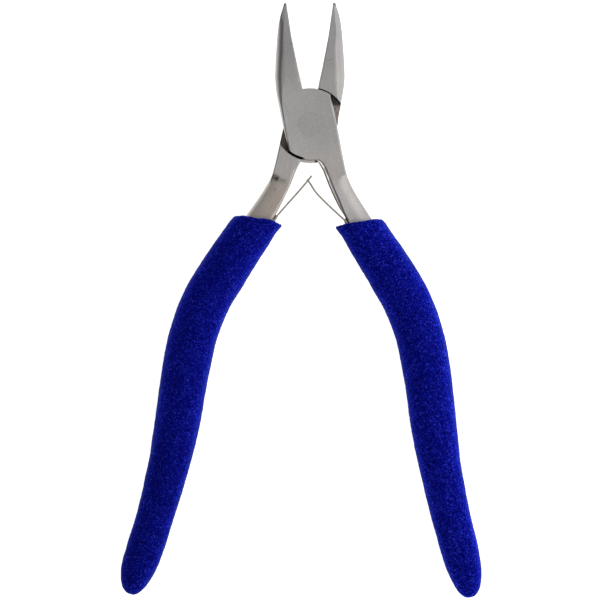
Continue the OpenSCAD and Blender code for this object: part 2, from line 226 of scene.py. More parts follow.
def skinned(name, rings):
    """Closed skin over rings with the same number of points, each end closed to its middle."""
    size = len(rings[0])
    verts = [point for ring in rings for point in ring]
    faces = [[j * size + i, j * size + (i + 1) % size, (j + 1) * size + (i + 1) % size,
              (j + 1) * size + i] for j in range(len(rings) - 1) for i in range(size)]
    for j in (0, len(rings) - 1):
        verts.append(tuple(np.mean(np.array(rings[j]), axis=0)))
        faces += [[j * size + i, j * size + (i + 1) % size, len(verts) - 1] for i in range(size)]
    return solid(name, verts, faces)


def circle(radius, count):
    angles = [2 * math.pi * i / count for i in range(count)]
    return [(radius * math.cos(angle), radius * math.sin(angle)) for angle in angles]


def lathe(name, profile, count=96):
    """Body of revolution about Z from (radius, z) points, lowest first."""
    return skinned(name, [[(x, y, z) for x, y in circle(max(radius, 1e-3), count)]
                          for radius, z in profile])


def boolean(base, cutter, operation):
    """Applies one boolean to base and removes the cutter."""
    modifier = base.modifiers.new("b", "BOOLEAN")
    modifier.operation, modifier.object, modifier.solver = operation, cutter, "MANIFOLD"
    graph = bpy.context.evaluated_depsgraph_get()
    mesh = bpy.data.meshes.new_from_object(base.evaluated_get(graph))
    base.modifiers.clear()
    old = base.data
    base.data = mesh
    bpy.data.meshes.remove(old)
    bpy.data.objects.remove(cutter)


def place(back, x, y, z):
    """A point of a half's closed frame, opened and moved to the pivot, mm."""
    if back:
        x, z = -x, -z
    x, y = turned(x, y, OPEN[back])
    return x + PIVOT.x / MM, y + PIVOT.y / MM, z + PIVOT_Z


def to_metres(obj, back=None):
    """Turns a mesh from mm into metres, out of a half's closed frame if back is given."""
    mesh = obj.data
    coords = np.empty(len(mesh.vertices) * 3)
    mesh.vertices.foreach_get("co", coords)
    coords = coords.reshape(-1, 3)
    if back is not None:
        coords = np.stack(place(back, coords[:, 0], coords[:, 1], coords[:, 2]), 1)
    mesh.vertices.foreach_set("co", (coords * MM).ravel())
    mesh.update()


def split_big_faces(bm):
    bmesh.ops.triangulate(bm, faces=[face for face in bm.faces if len(face.verts) > 4])


def shade_smooth(obj):
    for polygon in obj.data.polygons:
        polygon.use_smooth = True


def finish_mesh(obj, crease=24):
    """Clean manifold mesh, shaded smooth but for creases above this angle in degrees."""
    bm = bmesh.new()
    bm.from_mesh(obj.data)
    bmesh.ops.remove_doubles(bm, verts=bm.verts, dist=2e-7)
    bmesh.ops.dissolve_degenerate(bm, edges=bm.edges, dist=2e-7)
    split_big_faces(bm)
    bmesh.ops.recalc_face_normals(bm, faces=bm.faces)
    bm.to_mesh(obj.data)
    bm.free()
    shade_smooth(obj)
    obj.data.set_sharp_from_angle(angle=math.radians(crease))
    obj.data.update()


def stations(spans):
    """Distances over (start, end, step) spans, each step rounded to fit its span."""
    out = []
    for start, end, step in spans:
        count = max(1, round((end - start) / step))
        out += [start + (end - start) * i / count for i in range(count)]
    return out + [spans[-1][1]]


# ------------------------------------------------------------------------------------------
# Section outlines, as (x, z) points
# ------------------------------------------------------------------------------------------
def corner(wall, top, side, run, drop, crease, count):
    """From the flat at height top round to the wall, over run across and drop down.
    side is +1 if the wall is on the right. The flat meets the arc with a crease in degrees."""
    slope = min(.45, math.tan(math.radians(max(crease, 0))) * run / max(drop, 1e-6))
    cosine = slope / (1 - slope)
    first = math.acos(cosine)
    semi_x, semi_z = run / (1 - cosine), drop / math.sin(first)
    out = []
    for i in range(count + 1):
        angle = first * (1 - i / count)
        out.append((wall - side * semi_x * (1 - math.cos(angle)),
                    top - drop + semi_z * math.sin(angle)))
    return out


def shoulder(wall, top, width, slope, run, drop, crease):
    """A fall that starts width inside the right wall and reaches slope degrees, then a corner."""
    length = max(width - run, .01)
    fall = math.tan(math.radians(slope)) * length / 2
    points = [(wall - (width - length * i / 10), top - fall * (i / 10)**2) for i in range(10)]
    return points + corner(wall, top - fall, 1, run, min(drop, .9 * (top - fall)), crease, 10)


def descend(point, falls):
    """Points going down to the left from point, over (slope in degrees, width, count) falls."""
    points = [point]
    for slope, width, count in falls:
        for _ in range(count):
            x, z = points[-1]
            points.append((x - width / count,
                           z - width / count * math.tan(math.radians(slope))))
    return points


def edge_profile(chamfer, steep, top):
    """17 points over a chamfer and a steep face, as (inset from the wall, height)."""
    return descend((chamfer + steep, top), ((38, chamfer, 7), (56, steep * .15, 2),
                                            (70, steep * .65, 5), (79, steep * .2, 2)))


def between(start, end, count):
    """count points strictly between start and end."""
    return [(start[0] + (end[0] - start[0]) * (i + 1) / (count + 1),
             start[1] + (end[1] - start[1]) * (i + 1) / (count + 1)) for i in range(count)]


def flip(points):
    return [(x, -z) for x, z in reversed(points)]


def jaw_ring(dist, back):
    outer = curve(JAW_OUT, dist) - back * clamped(BACK_JAW_SLIM, dist)
    inner = clamped(JAW_IN, dist)
    top = clamped(JAW_DEPTH, dist) - (FLAT_SINK if dist < 12.5 else 0)
    width = outer - inner
    run = min(clamped(JAW_EDGE, dist), .8 * width)
    drop = min(.2 + 1.25 * run, .97 * top)
    blend = share(dist, 27, 4)                          # a shallower edge towards the tip
    drop = drop + (.36 * run - drop) * blend * blend * (3 - 2 * blend)
    bevel = min(.1, .3 * width)
    grip_edge = corner(-inner, top, 1, bevel, bevel, 0, 3)
    outer_edge = corner(-outer, top, -1, run, drop, clamped(JAW_CREASE, dist), 16)
    blend = share(dist, 6, 4)
    blend = blend * blend * (3 - 2 * blend)
    if blend < 1:                                       # next to the lap: the lap's own edge
        base = edge_profile(clamped(BASE_CHAMFER, dist), clamped(BASE_STEEP, dist),
                            top + FLAT_SINK)
        base = [(-outer + WALL_SINK + inset, z - FLAT_SINK) for inset, z in base]
        outer_edge = [(near[0] + (far[0] - near[0]) * blend, near[1] + (far[1] - near[1]) * blend)
                      for near, far in zip(base, outer_edge)]
    flat = between(outer_edge[0], grip_edge[0], 5)
    upper = list(reversed(outer_edge)) + flat + grip_edge
    lower = flip(upper)
    ring = upper + between(upper[-1], lower[0], 4) + lower + between(lower[-1], upper[0], 4)
    return [(x, dist, z) for x, z in ring]


def middle(dist, back):
    return curve(TANG_MID, dist) + back * curve(BACK_SET, max(TANG_START, dist))


def lean(dist, back):
    """Cosine of the middle line's angle to the handle's axis."""
    slope = middle(dist + .5, back) - middle(dist - .5, back)
    return 1 / math.sqrt(1 + slope * slope)


def hand_out(dist, back):
    if dist <= TANG_START:
        return curve(HAND_OUT, dist) + HAND_EXTRA * (share(dist, 16, 3) if back else 1)
    return middle(dist, back) + curve(TANG_HALF, dist) / lean(dist, back)


def hand_in(dist, back):
    if dist <= TANG_START:
        x = curve(HAND_IN, max(dist, 7))
    else:
        x = middle(dist, back) - curve(TANG_HALF, dist) / lean(dist, back)
    if back:
        return x - (.8 * curve(BACK_WIDE, dist) if 9 < dist < 36 else 0)
    return x - (curve(FRONT_WIDE, dist) if 7 < dist < 26.4 else 0)


def hand_ring(dist, back):
    outer, inner = hand_out(dist, back) - WALL_SINK, hand_in(dist, back)
    top = clamped(HAND_DEPTH, dist) - (FLAT_SINK if dist < 16 else 0)
    width = outer - inner
    ledge = clamped(LEDGE, dist)
    run, drop = clamped(OUT_RUN, dist), clamped(OUT_DROP, dist)
    slope = clamped(OUT_SLOPE, dist)
    fall = clamped(OUT_SHARE, dist) * width
    front_out = shoulder(outer, top, max(fall, run + .01), slope, run, drop, slope)
    # The back half's far corner turns rounder and deeper below the lap.
    blend = back * share(dist, 16.5, 1.5)
    rear_run = run + (.85 - run) * blend
    rear_out = shoulder(outer, top, max(fall, rear_run + .01), slope, rear_run,
                        drop + (2.3 - drop) * blend, slope + (58 - slope) * blend)
    chamfer, steep, start = clamped(IN_CHAMFER, dist), clamped(IN_STEEP, dist), inner + ledge
    front_in = descend((start + chamfer + steep, top),
                       ((42, chamfer * .9, 3), (56, chamfer * .1, 1),
                        (68, steep * .85, 3), (78, steep * .15, 1)))
    rear_in = corner(inner, top, -1, min(clamped(REAR_RUN, dist), .46 * width),
                     min(clamped(REAR_DROP, dist), .96 * top), clamped(REAR_CREASE, dist), 12)
    front = list(reversed(front_in)) + between(front_in[0], front_out[0], 5) + front_out
    rear = flip(list(reversed(rear_in)) + between(rear_in[0], rear_out[0], 5) + rear_out)
    # Ledge on the inner side, just under the bevel of the front face.
    ledge_z = min(.25, front[0][1] - .05)
    low = ledge_z - .03 - .8 * ledge
    step = [(inner, rear[-1][1] * .55), (inner, low - .1), (inner, low - .02),
            (inner + .02, low), (inner + max(ledge - .02, .02), ledge_z),
            (inner + ledge, ledge_z + .03)]
    ring = front + between(front[-1], rear[0], 4) + rear + step
    return [(x, -dist, z) for x, z in ring]


# ------------------------------------------------------------------------------------------
# Steel halves
# ------------------------------------------------------------------------------------------
LAP_RADIUS_JAW = 9.78
LAP_RADIUS_HAND = (9.45, 10.3)                          # front, back
POCKET_RADIUS_JAW = 10.0
POCKET_RADIUS_HAND = (10.5, 9.58)                       # front, back
POCKET_FLARE = 1.63 * .75
LAP_GAP = .025                                          # from the middle plane to the lap
ARC, LEFT_FLAT, RIGHT_FLAT = 0, 1, 2


def lap_outline(back):
    """Counterclockwise outline of the lap as (x, y, kind, bevel size)."""
    radius_jaw, radius_hand = LAP_RADIUS_JAW, LAP_RADIUS_HAND[back]
    left_x, right_x = -HALF_W + .002, HALF_W - .2 + HAND_EXTRA * (1 - back)
    jaw_x, hand_x = -HALF_W + 2.3, HALF_W - 2.2         # where jaw and handle take over
    count = 90

    def left(y):
        return .002 - clamped(JAW_OUT, y)

    start = math.acos(right_x / radius_jaw)
    end = math.pi - math.acos(-jaw_x / radius_jaw)
    points = []
    for i in range(count + 1):                          # jaw side arc, right to left
        angle = start + (end - start) * i / count
        points.append((radius_jaw * math.cos(angle), radius_jaw * math.sin(angle), ARC, .2))
    jaw_y, right_y = radius_jaw * math.sin(end), radius_jaw * math.sin(start)
    points += [(jaw_x, jaw_y + (3.6 - jaw_y) * i / 16, ARC, .2) for i in range(1, 16)]
    for i in range(8):
        y = 3.6 - 1.4 * i / 8
        points.append((jaw_x + (left(y) - jaw_x) * i / 8, y, ARC, .2))
    low_y = math.sqrt(radius_hand**2 - left_x**2)
    for i in range(44):                                 # left flat, downwards
        y = 2.2 + (-low_y - 2.2) * i / 44
        points.append((left(y), y, LEFT_FLAT, .45))
    start = math.pi + math.acos(-left_x / radius_hand)
    end = 2 * math.pi - math.acos(hand_x / radius_hand)
    for i in range(count + 1):                          # handle side arc
        angle = start + (end - start) * i / count
        x = radius_hand * math.cos(angle)
        bevel = .2 if back else .15 + .35 * share(-x, 3.0, .9)
        points.append((x, radius_hand * math.sin(angle), ARC, bevel))
    hand_y = -math.sqrt(radius_hand**2 - hand_x**2)
    points += [(hand_x, hand_y + (-3.4 - hand_y) * i / 12, ARC, .2) for i in range(1, 12)]
    points += [(hand_x + (right_x - hand_x) * i / 8, -3.4 + 1.4 * i / 8, ARC, .2)
               for i in range(8)]
    for i in range(44):                                 # right flat, upwards
        y = -2.0 + (right_y + 2.0) * i / 44
        blend = share(y, -.9, 3.4)
        bevel = .3 + .22 * blend * blend * (3 - 2 * blend)
        points.append((right_x, y, RIGHT_FLAT, bevel))
    return points


def lap_rings(back):
    """The lap: a disc of two radii between two flats, bevelled all round, more on the flats.
    It stops short of the outline where the jaw and the handle take over."""
    points = lap_outline(back)
    plan = np.array([(point[0], point[1]) for point in points])
    unit = [(-x, z - HALF_D) for x, z in corner(0, HALF_D, 1, 1, 1.5, 35, 16)]
    profiles = []
    for _, y, kind, bevel in points:
        if kind == LEFT_FLAT:
            edge = edge_profile(clamped(BASE_CHAMFER, y), clamped(BASE_STEEP, y), HALF_D)
            profiles.append([(inset, z - HALF_D) for inset, z in edge])
        else:
            profiles.append([(inset * bevel, z * bevel) for inset, z in unit])
    profiles = np.array(profiles)
    foot_bevel = np.array([.5 if point[2] else .1 for point in points])
    for _ in range(2):                                  # soften the jumps between the kinds
        profiles = (np.roll(profiles, 1, 0) + profiles * 2 + np.roll(profiles, -1, 0)) / 4
        foot_bevel = (np.roll(foot_bevel, 1) + foot_bevel * 2 + np.roll(foot_bevel, -1)) / 4
    tangent = np.roll(plan, -1, 0) - np.roll(plan, 1, 0)
    tangent /= np.linalg.norm(tangent, axis=1)[:, None]
    inward = np.stack([-tangent[:, 1], tangent[:, 0]], 1)
    # Keeps the bevel's width where the outline of a flat turns in.
    widen = np.array([1 / max(.45, abs(normal_x)) if point[2] else 1
                      for point, normal_x in zip(points, inward[:, 0])])
    profiles[:, :, 0] *= widen[:, None]
    foot = plan + inward * foot_bevel[:, None]
    rings = [[(x, y, LAP_GAP) for x, y in foot],
             [(x, y, LAP_GAP + .65 * size) for (x, y), size in zip(plan, foot_bevel)],
             [(x, y, HALF_D * .5) for x, y in plan]]
    for k in reversed(range(profiles.shape[1])):
        inset = plan + inward * profiles[:, k, 0][:, None]
        rings.append([(inset[i, 0], inset[i, 1], HALF_D + profiles[i, k, 1])
                      for i in range(len(plan))])
    return rings


def lap_pocket(back):
    """Cutter for the other half's lap: one radius on the jaw side, one on the handle side,
    flared at the rear face."""
    count = 240
    rings = []
    for z, grow in ((-HALF_D - 1.5, POCKET_FLARE), (-HALF_D + .13, 0), (-HALF_D + .13 + .6, 0),
                    (LAP_GAP, 0)):
        ring = []
        for i in range(count):
            angle = 2 * math.pi * i / count
            blend = .5 + .5 * math.tanh(math.sin(angle) / .12)
            radius = POCKET_RADIUS_HAND[back] * (1 - blend) + POCKET_RADIUS_JAW * blend + grow
            ring.append((radius * math.cos(angle), radius * math.sin(angle), z))
        rings.append(ring)
    return skinned("pocket", rings)


def jaw_solid(back):
    rings = [jaw_ring(dist, back)
             for dist in stations([(-1.5, 12.5, .7), (12.5, 24, .45), (24, 32.9, .3)])]
    last, end = np.array(jaw_ring(32.9, back)), np.array(jaw_ring(33.3, back))
    for part in (.25, .5, .7, .84, .93, .98, 1.0):      # rounded end of the jaw
        ring = last + (end - last) * part
        centre = ring.mean(0)
        size = (1 - part**2.6)**(1 / 2.6)
        ring = centre + (ring - centre) * (size * .6 + .4)
        ring[:, 1] = 32.9 + .4 * part
        rings.append([tuple(point) for point in ring])
    return skinned("jaw", rings)


def handle_solid(back):
    spans = [(1, 13, .6), (13, 17, .16), (17, 30, .4), (30, 60, 1.2), (60, 117, 2.5)]
    return skinned("handle", [[(*turned(x, y, SPLAY[back]), z)
                               for x, y, z in hand_ring(dist, back)] for dist in stations(spans)])


def spring_foot(back):
    """Where the spring stands on the handle's inner side, and the direction along the handle.
    Both are in the handle's frame before its splay."""
    dist = 26.3 if back else 27.1
    rise = hand_in(dist + .6, back) - hand_in(dist - .6, back)
    length = math.hypot(rise, 1.2)
    return (hand_in(dist, back), -dist), (rise / length, -1.2 / length)


def spring_rivet_hole(back):
    spot, along = spring_foot(back)
    radius = .73
    rings = [[(*turned(spot[0] - along[1] * depth + along[0] * radius * cosine,
                       spot[1] + along[0] * depth + along[1] * radius * cosine, SPLAY[back]),
               radius * sine) for cosine, sine in circle(1, 32)] for depth in (-.5, 2.6)]
    return skinned("foothole", rings)


def flatten(obj):
    """Brings the ground faces of the united solids into one plane and merges the front ones."""
    bm = bmesh.new()
    bm.from_mesh(obj.data)
    for vert in bm.verts:
        if abs(abs(vert.co.z) - HALF_D) < .005:
            vert.co.z = math.copysign(HALF_D, vert.co.z)
    bmesh.ops.remove_doubles(bm, verts=bm.verts, dist=.0006)
    keep = {face for face in bm.faces
            if all(abs(vert.co.z - HALF_D) < 1e-6 for vert in face.verts)}
    edges = [edge for edge in {edge for face in keep for edge in face.edges}
             if len(edge.link_faces) == 2 and all(face in keep for face in edge.link_faces)]
    bmesh.ops.dissolve_edges(bm, edges=edges, use_verts=False, use_face_split=False)
    bm.to_mesh(obj.data)
    bm.free()


def make_half(back, name):
    obj = skinned(name, lap_rings(back))
    boolean(obj, jaw_solid(back), "UNION")
    boolean(obj, handle_solid(back), "UNION")
    boolean(obj, lap_pocket(back), "DIFFERENCE")
    # Pivot hole, countersunk on the half's own outer face (local +Z).
    profile = [(2.43, -1), (2.43, HALF_D - .8), (3.235, HALF_D + .005), (3.235, HALF_D + .5)]
    boolean(obj, lathe("hole", profile), "DIFFERENCE")
    boolean(obj, spring_rivet_hole(back), "DIFFERENCE")
    flatten(obj)
    to_metres(obj, back)
    finish_mesh(obj)
    return obj


front_half = make_half(0, "steel_front_half")
back_half = make_half(1, "steel_back_half")
for half in (front_half, back_half):
    normals = half.modifiers.new("normals", "WEIGHTED_NORMAL")
    normals.keep_sharp = True
    normals.weight = 50
    normals.mode = "FACE_AREA"


# ------------------------------------------------------------------------------------------
# Rivets
# ------------------------------------------------------------------------------------------
def make_pivot_rivet(name):
    top = HALF_D - .004
    lower = [(0, -top), (1.2, -top), (2.6, -top), (3.17, -top), (3.2, -top + .02),
             (3.2, -top + .03), (2.42, -top + .8), (2.4, -top + .84), (2.4, -1)]
    obj = lathe(name, lower + [(radius, -z) for radius, z in reversed(lower)])
    to_metres(obj, 0)
    finish_mesh(obj)
    return obj


def make_spring_rivet(back, name):
    head = .64                                          # height of the head's underside edge
    profile = [(0, -2.4), (.62, -2.4), (.7, -2.3), (.7, head - .02), (.84, head),
               (.88, head + .03)]
    profile += [(.88 * math.cos(math.radians(angle)),
                 head + .04 + .1 * math.sin(math.radians(angle))) for angle in range(10, 90, 10)]
    obj = lathe(name, profile + [(0, head + .14)], 48)
    spot, along = spring_foot(back)
    for vert in obj.data.vertices:                      # Z away from the handle, X along it
        x, y, z = vert.co
        vert.co = (*turned(spot[0] + along[0] * x + along[1] * z,
                           spot[1] + along[1] * x - along[0] * z, SPLAY[back]), y)
    face_outward(obj.data)
    to_metres(obj, back)
    finish_mesh(obj, crease=35)
    return obj


pivot_rivet = make_pivot_rivet("steel_pivot_rivet")
front_rivet = make_spring_rivet(0, "steel_front_spring_rivet")
back_rivet = make_spring_rivet(1, "steel_back_spring_rivet")

# ------------------------------------------------------------------------------------------
# Leaf springs, in mm in the open tool's frame. The front leaf ends in a narrow tongue, which
# passes through a window in the back leaf.
# ------------------------------------------------------------------------------------------
MEET = np.array([-.75, -15.1])
LEAF_THICK, LEAF_WIDE, LEAF_EDGE = .5, 5.6, .09
LEAF_HOLE_RADIUS = .95
LEAF_BOW = .12
# (x, y) points of the front leaf after its root
FRONT_LEAF_WAY = [(7.6, -24.15), (5.72, -22.4), (3.13, -19.9), (1.42, -18.05), (.37, -16.45),
                  (-.47, -15.2), (-.92, -14.7)]


def leaf_dir(back):
    """Direction of the spring's foot along the open handle."""
    x, y = turned(*spring_foot(back)[1], SPLAY[back])
    return np.array(turned(-x if back else x, y, OPEN[back]))


def spline(way, count=12):
    """Catmull-Rom curve through the points of way."""
    way = [np.array(point, float) for point in way]
    way = [2 * way[0] - way[1]] + way + [2 * way[-1] - way[-2]]
    out = []
    for a, b, c, d in zip(way, way[1:], way[2:], way[3:]):
        for i in range(count):
            t = i / count
            out.append(.5 * (2 * b + (c - a) * t + (2 * a - 5 * b + 4 * c - d) * t * t
                             + (3 * b - a - 3 * c + d) * t**3))
    return out + [way[-2]]


def bowed_leaf(root, foot_dir, tip, count=70):
    """Short straight foot, then a line from root to tip that bows out by LEAF_BOW."""
    chord = tip - root
    square = np.array([-chord[1], chord[0]]) / np.linalg.norm(chord)
    points = [root + 1.5 * foot_dir, root + 1.0 * foot_dir, root + .5 * foot_dir]
    peak = .1192                                        # greatest value of u**2.6 * (1 - u)
    return points + [root + chord * u - LEAF_BOW * u**2.6 * (1 - u) / peak * square
                     for u in np.linspace(0, 1, count)]


def ribbon(name, points):
    """Strip of rounded section swept along the points."""
    path = np.array(points)
    for _ in range(3):
        path[1:-1] = (path[:-2] + 2 * path[1:-1] + path[2:]) / 4
    along = np.gradient(path, axis=0)
    along /= np.linalg.norm(along, axis=1)[:, None]
    square = np.stack([-along[:, 1], along[:, 0]], 1)
    section = []
    for side_x, side_z, start in ((1, 1, 0), (-1, 1, 90), (-1, -1, 180), (1, -1, 270)):
        for k in range(4):
            angle = math.radians(start + 30 * k)
            section.append((side_x * (LEAF_THICK / 2 - LEAF_EDGE) + LEAF_EDGE * math.cos(angle),
                            side_z * (LEAF_WIDE / 2 - LEAF_EDGE) + LEAF_EDGE * math.sin(angle)))
    return skinned(name, [[(spot[0] + normal[0] * x, spot[1] + normal[1] * x, PIVOT_Z + z)
                           for x, z in section] for spot, normal in zip(path, square)])


def leaf_axes(direction):
    along = direction / np.linalg.norm(direction)
    return np.array([along[1], -along[0]]), along


def cut_box(leaf, direction, low, high):
    """Cuts a box at MEET: local X square to direction, Y along it, Z up."""
    across, along = leaf_axes(direction)
    verts = []
    for z in (low[2], high[2]):
        for x, y in ((low[0], low[1]), (high[0], low[1]), (high[0], high[1]), (low[0], high[1])):
            spot = MEET + across * x + along * y
            verts.append((spot[0], spot[1], PIVOT_Z + z))
    boolean(leaf, solid("box", verts, BOX_FACES), "DIFFERENCE")


def cut_rivet_hole(leaf, centre, direction):
    across, along = leaf_axes(direction)
    rings = [[(*(centre + across * depth + along * LEAF_HOLE_RADIUS * cosine),
               PIVOT_Z + LEAF_HOLE_RADIUS * sine) for cosine, sine in circle(1, 40)]
             for depth in (-2, 2)]
    boolean(leaf, skinned("leafhole", rings), "DIFFERENCE")


FRONT_CHORD, BACK_CHORD = MEET - ROOT_FRONT, MEET - ROOT_BACK

front_dir = leaf_dir(0)
front_leaf = ribbon("spring_front_leaf",
                    spline([ROOT_FRONT + 1.5 * front_dir, ROOT_FRONT] + FRONT_LEAF_WAY))
cut_rivet_hole(front_leaf, ROOT_FRONT, front_dir)
for low_z, high_z in ((-4.1, -1.1), (1.1, 4.1)):        # leaves the tongue
    cut_box(front_leaf, FRONT_CHORD, (-3, -1.9, low_z), (3, 3.1, high_z))

back_dir = leaf_dir(1)
back_tip = MEET + 1.8 * np.array(turned(*(BACK_CHORD / np.linalg.norm(BACK_CHORD)), 4))
back_leaf = ribbon("spring_back_leaf", bowed_leaf(ROOT_BACK, back_dir, back_tip))
cut_rivet_hole(back_leaf, ROOT_BACK, back_dir)
cut_box(back_leaf, BACK_CHORD, (-2, -.9, -1.35), (2, 1.38, 1.35))    # the window
for leaf in (front_leaf, back_leaf):
    to_metres(leaf)
    finish_mesh(leaf, crease=35)

# ------------------------------------------------------------------------------------------
# Foam grips
# ------------------------------------------------------------------------------------------
GRIP_RADIUS = 12.9 / 2
GRIP_TAPER = 116                                        # where the closed end starts to round
GRIP_END = (132.5, 132.5 + .95)                         # front, back
MOUTH_TUCK = (.5, .35)                                  # how far the mouth's inner side tucks in
LATTICES = [np.random.default_rng(seed).random((64, 64, 64)).astype(np.float32) * 2 - 1
            for seed in (11, 12, 13)]
# Relief of the foam and of its lip: (amplitude, cell size, lattice)
FOAM_RELIEF = [(.055, .62, 0), (.04, .33, 1), (.05, 2.4, 2), (.05, 7.0, 0)]
LIP_RELIEF = [(.10, 1.1, 1), (.06, .5, 2)]
# How far the cut of the mouth leans along the handle: [place across the handle, shift]
MOUTH_CUT = (
    [[-1, 0], [-.7, -.2], [-.4, -.25], [0, -.15], [.5, 0], [1, .35]],
    [[-1, .35], [-.8, -.1], [-.5, -.35], [0, 0], [.5, .3], [1, .75]])


def value_noise(points, which):
    """Smooth value noise in -1..1 at points (N, 3); the lattice has unit cells."""
    lattice = LATTICES[which]
    size = lattice.shape[0]
    cell = np.floor(points).astype(int)
    part = points - cell
    part = part * part * (3 - 2 * part)
    out = 0
    for dx in (0, 1):
        for dy in (0, 1):
            for dz in (0, 1):
                weight = ((part[:, 0] if dx else 1 - part[:, 0])
                          * (part[:, 1] if dy else 1 - part[:, 1])
                          * (part[:, 2] if dz else 1 - part[:, 2]))
                out = out + weight * lattice[(cell[:, 0] + dx) % size, (cell[:, 1] + dy) % size,
                                             (cell[:, 2] + dz) % size]
    return out


def relief(points, layers):
    return sum(amplitude * value_noise(points / size, which)
               for amplitude, size, which in layers)


def grip_radius(dist, mouth, end):
    edge = share(dist, mouth, .9)
    base = GRIP_RADIUS * curve(GRIP_SHARE, dist)
    u = max(0, (dist - GRIP_TAPER) / (end - GRIP_TAPER))
    return ((base - .38 * (1 - math.sqrt(1 - (1 - edge)**2)))
            * max(0, 1 - u**2.4)**(1 / 2.4))


def grip_rings(back, mouth, angles):
    """Rings of the plain sleeve from inside the mouth to the closed end, and the number of
    rings before the outer skin starts."""
    end = GRIP_END[back]

    def outer_ring(dist):
        radius = grip_radius(dist, mouth, end) - back * curve(BACK_THIN, dist)
        centre = middle(dist, back) + (1 - back) * curve(FRONT_SET, dist)
        wide = radius / lean(dist, back)
        tuck = MOUTH_TUCK[back] * math.exp(-((dist - mouth) / 2.2)**2)
        return [(centre + wide * math.cos(angle) - tuck * max(0, -math.cos(angle))**2, -dist,
                 radius * math.sin(angle)) for angle in angles]

    rings = []
    # Inside of the mouth: the foam lies close round the tang for a little way.
    for depth, size in ((7, 1.02), (3, 1.03), (1.2, 1.05), (.25, 1.12)):
        dist = mouth + depth
        outer, inner = hand_out(dist, back), hand_in(dist, back)
        centre, semi_x = (outer + inner) / 2, (outer - inner) / 2 * size
        semi_z = clamped(HAND_DEPTH, dist) * size
        rings.append([(centre + semi_x * np.sign(np.cos(angle)) * abs(np.cos(angle))**.8, -dist,
                       semi_z * np.sign(np.sin(angle)) * abs(np.sin(angle))**.8)
                      for angle in angles])
    # End face of the foam.
    inner_rim, outer_rim = np.array(rings[-1]), np.array(outer_ring(mouth))
    for part in (.12, .3, .5, .7, .87, .96):
        ring = inner_rim + (outer_rim - inner_rim) * part
        ring[:, 1] = -(mouth + .04 * (1 - part))
        rings.append([tuple(point) for point in ring])
    first_outer = len(rings)
    step = .3
    dists = stations([(mouth, mouth + .9, .12), (mouth + .9, GRIP_TAPER, step),
                      (GRIP_TAPER, 128, step)])
    # Closer stations round the closed end.
    length = end - GRIP_TAPER
    turn = np.linspace(math.asin((128.3 - GRIP_TAPER) / length), math.pi / 2, 44)
    dists += [GRIP_TAPER + u * length for u in np.sin(turn)[1:-1]]
    return rings + [outer_ring(dist) for dist in dists], first_outer


def outward_normals(verts, size, probe, back):
    """Normals of the smooth sleeve; the vertex number probe tells which way is out."""
    grid = verts.reshape(-1, size, 3)
    around = np.roll(grid, -1, 1) - np.roll(grid, 1, 1)
    normals = np.cross(around, np.gradient(grid, axis=0)).reshape(-1, 3)
    normals /= np.maximum(np.linalg.norm(normals, axis=1), 1e-9)[:, None]
    spot = verts[probe]
    if (spot - np.array([middle(-spot[1], back), spot[1], 0])) @ normals[probe] < 0:
        normals = -normals
    return normals


def make_grip(back, name, mouth):
    size = 140
    rings, first_outer = grip_rings(back, mouth, np.linspace(0, 2 * math.pi, size, endpoint=False))
    verts = np.array([point for ring in rings for point in ring])
    normals = outward_normals(verts, size, (first_outer + 40) * size, back)
    inside = 4 * size                                   # vertices within the mouth
    seed = verts + 40
    lip = np.clip(1 - (-verts[:, 1] - mouth) / 1.4, 0, 1) * (np.arange(len(verts)) >= inside)
    height = relief(seed, FOAM_RELIEF) + lip * relief(seed, LIP_RELIEF)
    height[:inside] *= .2
    verts = verts + normals * height[:, None]
    # The foam is not cut square: the shape of the cut across the handle, then its ragged edge.
    across = np.clip((verts[:, 0] - middle(mouth, back)) / 6.0, -1, 1)
    verts[:, 1] -= (np.clip(1 - (-verts[:, 1] - mouth) / 3, 0, 1)
                    * np.array([curve(MOUTH_CUT[back], place_x) for place_x in across]))
    coarse = value_noise(seed * np.array([1, .02, 1]) / 1.3, 2)
    fine = value_noise(seed * np.array([1, .05, 1]) / .5, 0)
    verts[:, 1] += lip * (.16 * coarse + .12 * fine)
    verts = [(*turned(x, y, SPLAY[back]), z) for x, y, z in verts]
    return skinned(name, [verts[i:i + size] for i in range(0, len(verts), size)])


def cut_foot_pocket(back, grip):
    """Room for the spring's foot and rivet in the mouth of the foam."""
    spot, along = (np.array(pair) for pair in spring_foot(back))
    out = np.array([along[1], -along[0]])
    verts = []
    for z in (-3.0, 3.0):
        for down, off in ((-2.5, -1.2), (-2.5, 1.5), (2.0, 1.25), (2.0, -1.2)):
            verts.append((*turned(*(spot + along * down + out * off), SPLAY[back]), z))
    boolean(grip, solid("pocket", verts, BOX_FACES), "DIFFERENCE")


front_grip = make_grip(0, "foam_front_grip", mouth=28.2)
back_grip = make_grip(1, "foam_back_grip", mouth=27.6)
for back, grip in enumerate((front_grip, back_grip)):
    cut_foot_pocket(back, grip)
    to_metres(grip, back)
    bm = bmesh.new()
    bm.from_mesh(grip.data)
    split_big_faces(bm)
    bm.to_mesh(grip.data)
    bm.free()
    shade_smooth(grip)


